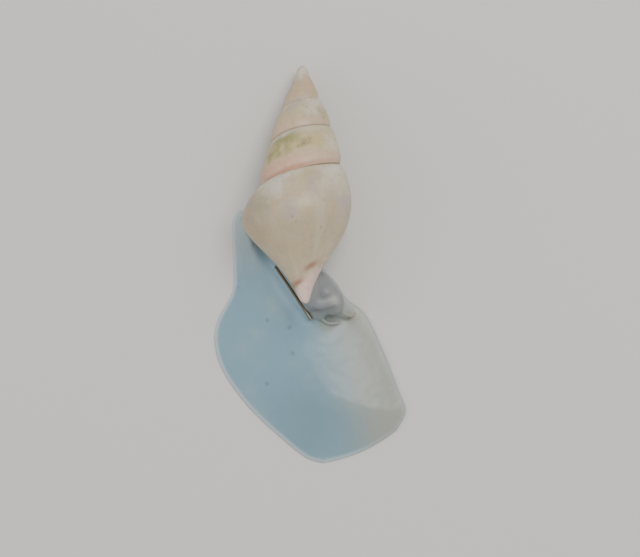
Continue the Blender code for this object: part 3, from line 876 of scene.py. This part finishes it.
# Each point's distance from the foot's margin, and how much it belongs to the sole
bm = bmesh.new()
bm.from_mesh(skin.data)
bmesh.ops.dissolve_degenerate(bm, edges=bm.edges, dist=NO_GAP)
margin_layer = bm.verts.layers.float.new("margin")
under_layer = bm.verts.layers.float.new("under")
bm.normal_update()
for vert in bm.verts:
    vert[margin_layer] = to_margin(vert.co) / MM
    vert[under_layer] = smoothstep(-vert.normal.z, 0.2, 0.9) * smoothstep(-vert.co.z, -0.4 * MM, 0)
bm.to_mesh(skin.data)
bm.free()

FOOT_BLUE = paint(121, 152, 164)
FOOT_PALE_BLUE = paint(131, 158, 166)
DEEP_BLUE = paint(108, 136, 147)
WARM_GREY = paint(153, 152, 137)
TAIL_WHITE_AND_PAINTED_LIGHT = paint(174, 181, 179)
BODY_GREY = paint(127, 127, 126)
SHADE_GREY = paint(112, 112, 112)
PAINTED_LIGHT_BLUE = paint(168, 200, 216)
FEELER_TAN = paint(140, 136, 118)
SIPHON_PALE = paint(182, 182, 176)
SIPHON_BORE_SHADE = paint(112, 114, 114)
RIM_WHITE = paint(186, 196, 198)
GRIT_GREEN = paint(88, 104, 104)
SOLE_CREAM = paint(190, 182, 164)
DEEP_MIDDLE = (1.0, -27.0, 2.0), 13.0
HEAD_SHADE = (1.2, -5.2, 7.2), 2.6
PAINTED_LIGHT_MIDDLE = (-3.6, -4.6, 4.0), 10.5
FEELER_TIPS = ((3.2, -10.4, 3.1), (7.2, -9.2, 2.3))
FEELER_TIP_REACH = 2.4
SIPHON_TIP = (4.2, -6.8, 7.6), 1.8
SIPHON_BORE = (3.6, -6.8, 7.6), 0.9
GRITS = ((-7.5, -10.0), (-3.6, -11.3), (-3.1, -15.7), (-7.5, -21.0))
GRIT_RADIUS = 0.6

flesh = Finish(
    "wet_flesh",
    Roughness=0.3,
    Coat_Weight=0.18,
    Coat_Roughness=0.2,
    Subsurface_Weight=0.35,
    Subsurface_Radius=(1.0, 0.9, 0.8),
    Subsurface_Scale=1.2 * MM,
    IOR=1.38,
)
flesh_spot = flesh.position()
side_x = flesh.part_of(flesh_spot, 0)
side_y = flesh.part_of(flesh_spot, 1)
height = flesh.part_of(flesh_spot, 2)
flesh_flat = flesh.stretch(flesh_spot, (1.0, 1.0, 0.0))
margin = flesh.attribute("margin")
flesh_cloud = flesh.noise(flesh_spot, 120.0, 3.0)
flesh_grain = flesh.noise(flesh_spot, 900.0, 3.0)

# The foot, blue in the middle, warm towards the right and whitish under the shell, where it is
# also painted lighter against the shell's shadow
colour = flesh.mix(FOOT_BLUE, FOOT_PALE_BLUE, flesh.ramp(flesh_cloud, 0.4, 0.62))
colour = flesh.mix(colour, DEEP_BLUE, flesh.near(flesh_spot, *DEEP_MIDDLE) * 0.8)
warm = flesh.ramp(side_x + side_y * 0.25, -4.6 * MM, 6.6 * MM)
colour = flesh.mix(colour, WARM_GREY, warm * 0.9)
# Partly painted light: the tail under the shell is whitish and also made paler to cancel the
# shadow the shell casts on it
tail = flesh.ramp(side_y, -4 * MM, 8 * MM) * flesh.ramp(side_x, -1 * MM, -4 * MM)
colour = flesh.mix(colour, TAIL_WHITE_AND_PAINTED_LIGHT, tail * 0.8)

# The grey body and head with painted shade beside the canal, and painted light in the hollow
# beside the horny door, against the shell's shadow
raised = flesh.ramp(height, 3 * MM, 6.4 * MM)
raised = raised * flesh.ramp(side_x + side_y * 0.67, -7.2 * MM, -5.8 * MM)
colour = flesh.mix(colour, BODY_GREY, raised * 0.85)
colour = flesh.mix(colour, SHADE_GREY, flesh.near(flesh_spot, *HEAD_SHADE) * 0.6)
# Painted light: a strip of foot beside the horny door is lightened to cancel the shadow under the
# shell's lip
beside_plate = flesh.dot(flesh_spot, BESIDE_OPERCULUM) - plate_side
hollow = flesh.ramp(beside_plate, 3.6 * MM, 0.6 * MM)
hollow = hollow * flesh.ramp(beside_plate, 0.1 * MM, 0.6 * MM)
hollow = hollow * flesh.near(flesh_spot, *PAINTED_LIGHT_MIDDLE)
colour = flesh.mix(colour, PAINTED_LIGHT_BLUE, flesh.ramp(hollow, 0.0, 0.6) * 0.6)

# The feelers, and the pale end of the breathing tube with painted shade in its bore
for tip in FEELER_TIPS:
    feeler = flesh.ramp(flesh.near(flesh_spot, tip, FEELER_TIP_REACH), 0.0, 0.4)
    colour = flesh.mix(colour, FEELER_TAN, feeler * 0.5)
colour = flesh.mix(colour, SIPHON_PALE, flesh.near(flesh_spot, *SIPHON_TIP) * 0.8)
# Painted shade: the opening of the breathing tube is darkened
bore_shade = flesh.ramp(flesh.near(flesh_spot, *SIPHON_BORE), 0.0, 0.4)
colour = flesh.mix(colour, SIPHON_BORE_SHADE, bore_shade * 0.8)

# The thin white rim, grains of sand, and the cream sole
rim = flesh.ramp(margin, 0.9, 0.1) * (1.0 - warm * 0.7)
colour = flesh.mix(colour, RIM_WHITE, rim * 0.7)
for x, y in GRITS:
    grit = flesh.near(flesh_flat, (x, y, 0), GRIT_RADIUS)
    colour = flesh.mix(colour, GRIT_GREEN, grit * 0.5)
colour = flesh.mix(colour, SOLE_CREAM, flesh.attribute("under") * 0.7)
flesh.join(flesh.shader.inputs["Base Color"], colour)
flesh.join(flesh.shader.inputs["Roughness"], 0.3 + flesh_cloud * 0.14 + raised * 0.2)
flesh.bump(flesh_grain, 0.03 * MM)
flesh.wear(skin)
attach(skin, "root")
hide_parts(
    "foot_metapodium", "foot_mesopodium", "foot_propodium", "body_stalk", "head",
    "tentacle_left", "tentacle_right", "siphon",
)

# Floor, light and camera
# A plain pale table under soft studio light from the upper right, seen from almost straight
# above.

FLOOR_GREY = paint(202, 199, 192)
FLOOR_HALF = 1.5
ROOM_LIGHT = (0.9, 0.92, 0.95, 1.0)
ROOM_STRENGTH = 0.75
LAMP_SIZE = 0.4
CAMERA_TARGET = Vector((1.68, -2.5, 0.0)) * MM
CAMERA_DISTANCE = 300 * MM
CAMERA_HEIGHT = math.radians(86)
CAMERA_NEAR = 10 * MM
MM_PER_PIXEL = 0.176
PHOTO_WIDTH = 640

bm = bmesh.new()
bmesh.ops.create_grid(bm, x_segments=1, y_segments=1, size=FLOOR_HALF)
floor = new_piece("floor", bm)
floor_paint = Finish("floor_paint", Roughness=0.7)
floor_paint.join(floor_paint.shader.inputs["Base Color"], FLOOR_GREY)
floor_paint.wear(floor)

world = bpy.data.worlds.new("studio")
world.use_nodes = True
sky = world.node_tree.nodes["Background"]
sky.inputs["Color"].default_value = ROOM_LIGHT
sky.inputs["Strength"].default_value = ROOM_STRENGTH
bpy.context.scene.world = world


def soft_lamp(name, at, power):
    """A round soft lamp that looks at the middle of the floor."""
    lamp = bpy.data.lights.new(name, "AREA")
    lamp.shape = "DISK"
    lamp.size = LAMP_SIZE
    lamp.energy = power
    lamp_object = bpy.data.objects.new(name, lamp)
    lamp_object.location = at
    lamp_object.rotation_euler = (-Vector(at)).to_track_quat("-Z", "Y").to_euler()
    bpy.context.scene.collection.objects.link(lamp_object)


soft_lamp("key_light", (0.18, 0.2, 0.58), 3.0)
soft_lamp("fill_light", (-0.4, -0.1, 0.24), 0.5)

camera = bpy.data.cameras.new("camera")
camera.sensor_fit = "HORIZONTAL"
half_width = PHOTO_WIDTH / 2 * MM_PER_PIXEL * MM
camera.angle_x = 2 * math.atan(half_width / CAMERA_DISTANCE)
camera.clip_start = CAMERA_NEAR
camera_object = bpy.data.objects.new("camera", camera)
toward = Vector((0, math.cos(CAMERA_HEIGHT), -math.sin(CAMERA_HEIGHT)))
camera_object.location = CAMERA_TARGET - toward * CAMERA_DISTANCE
camera_object.rotation_euler = toward.to_track_quat("-Z", "Y").to_euler()
bpy.context.scene.collection.objects.link(camera_object)
bpy.context.scene.camera = camera_object
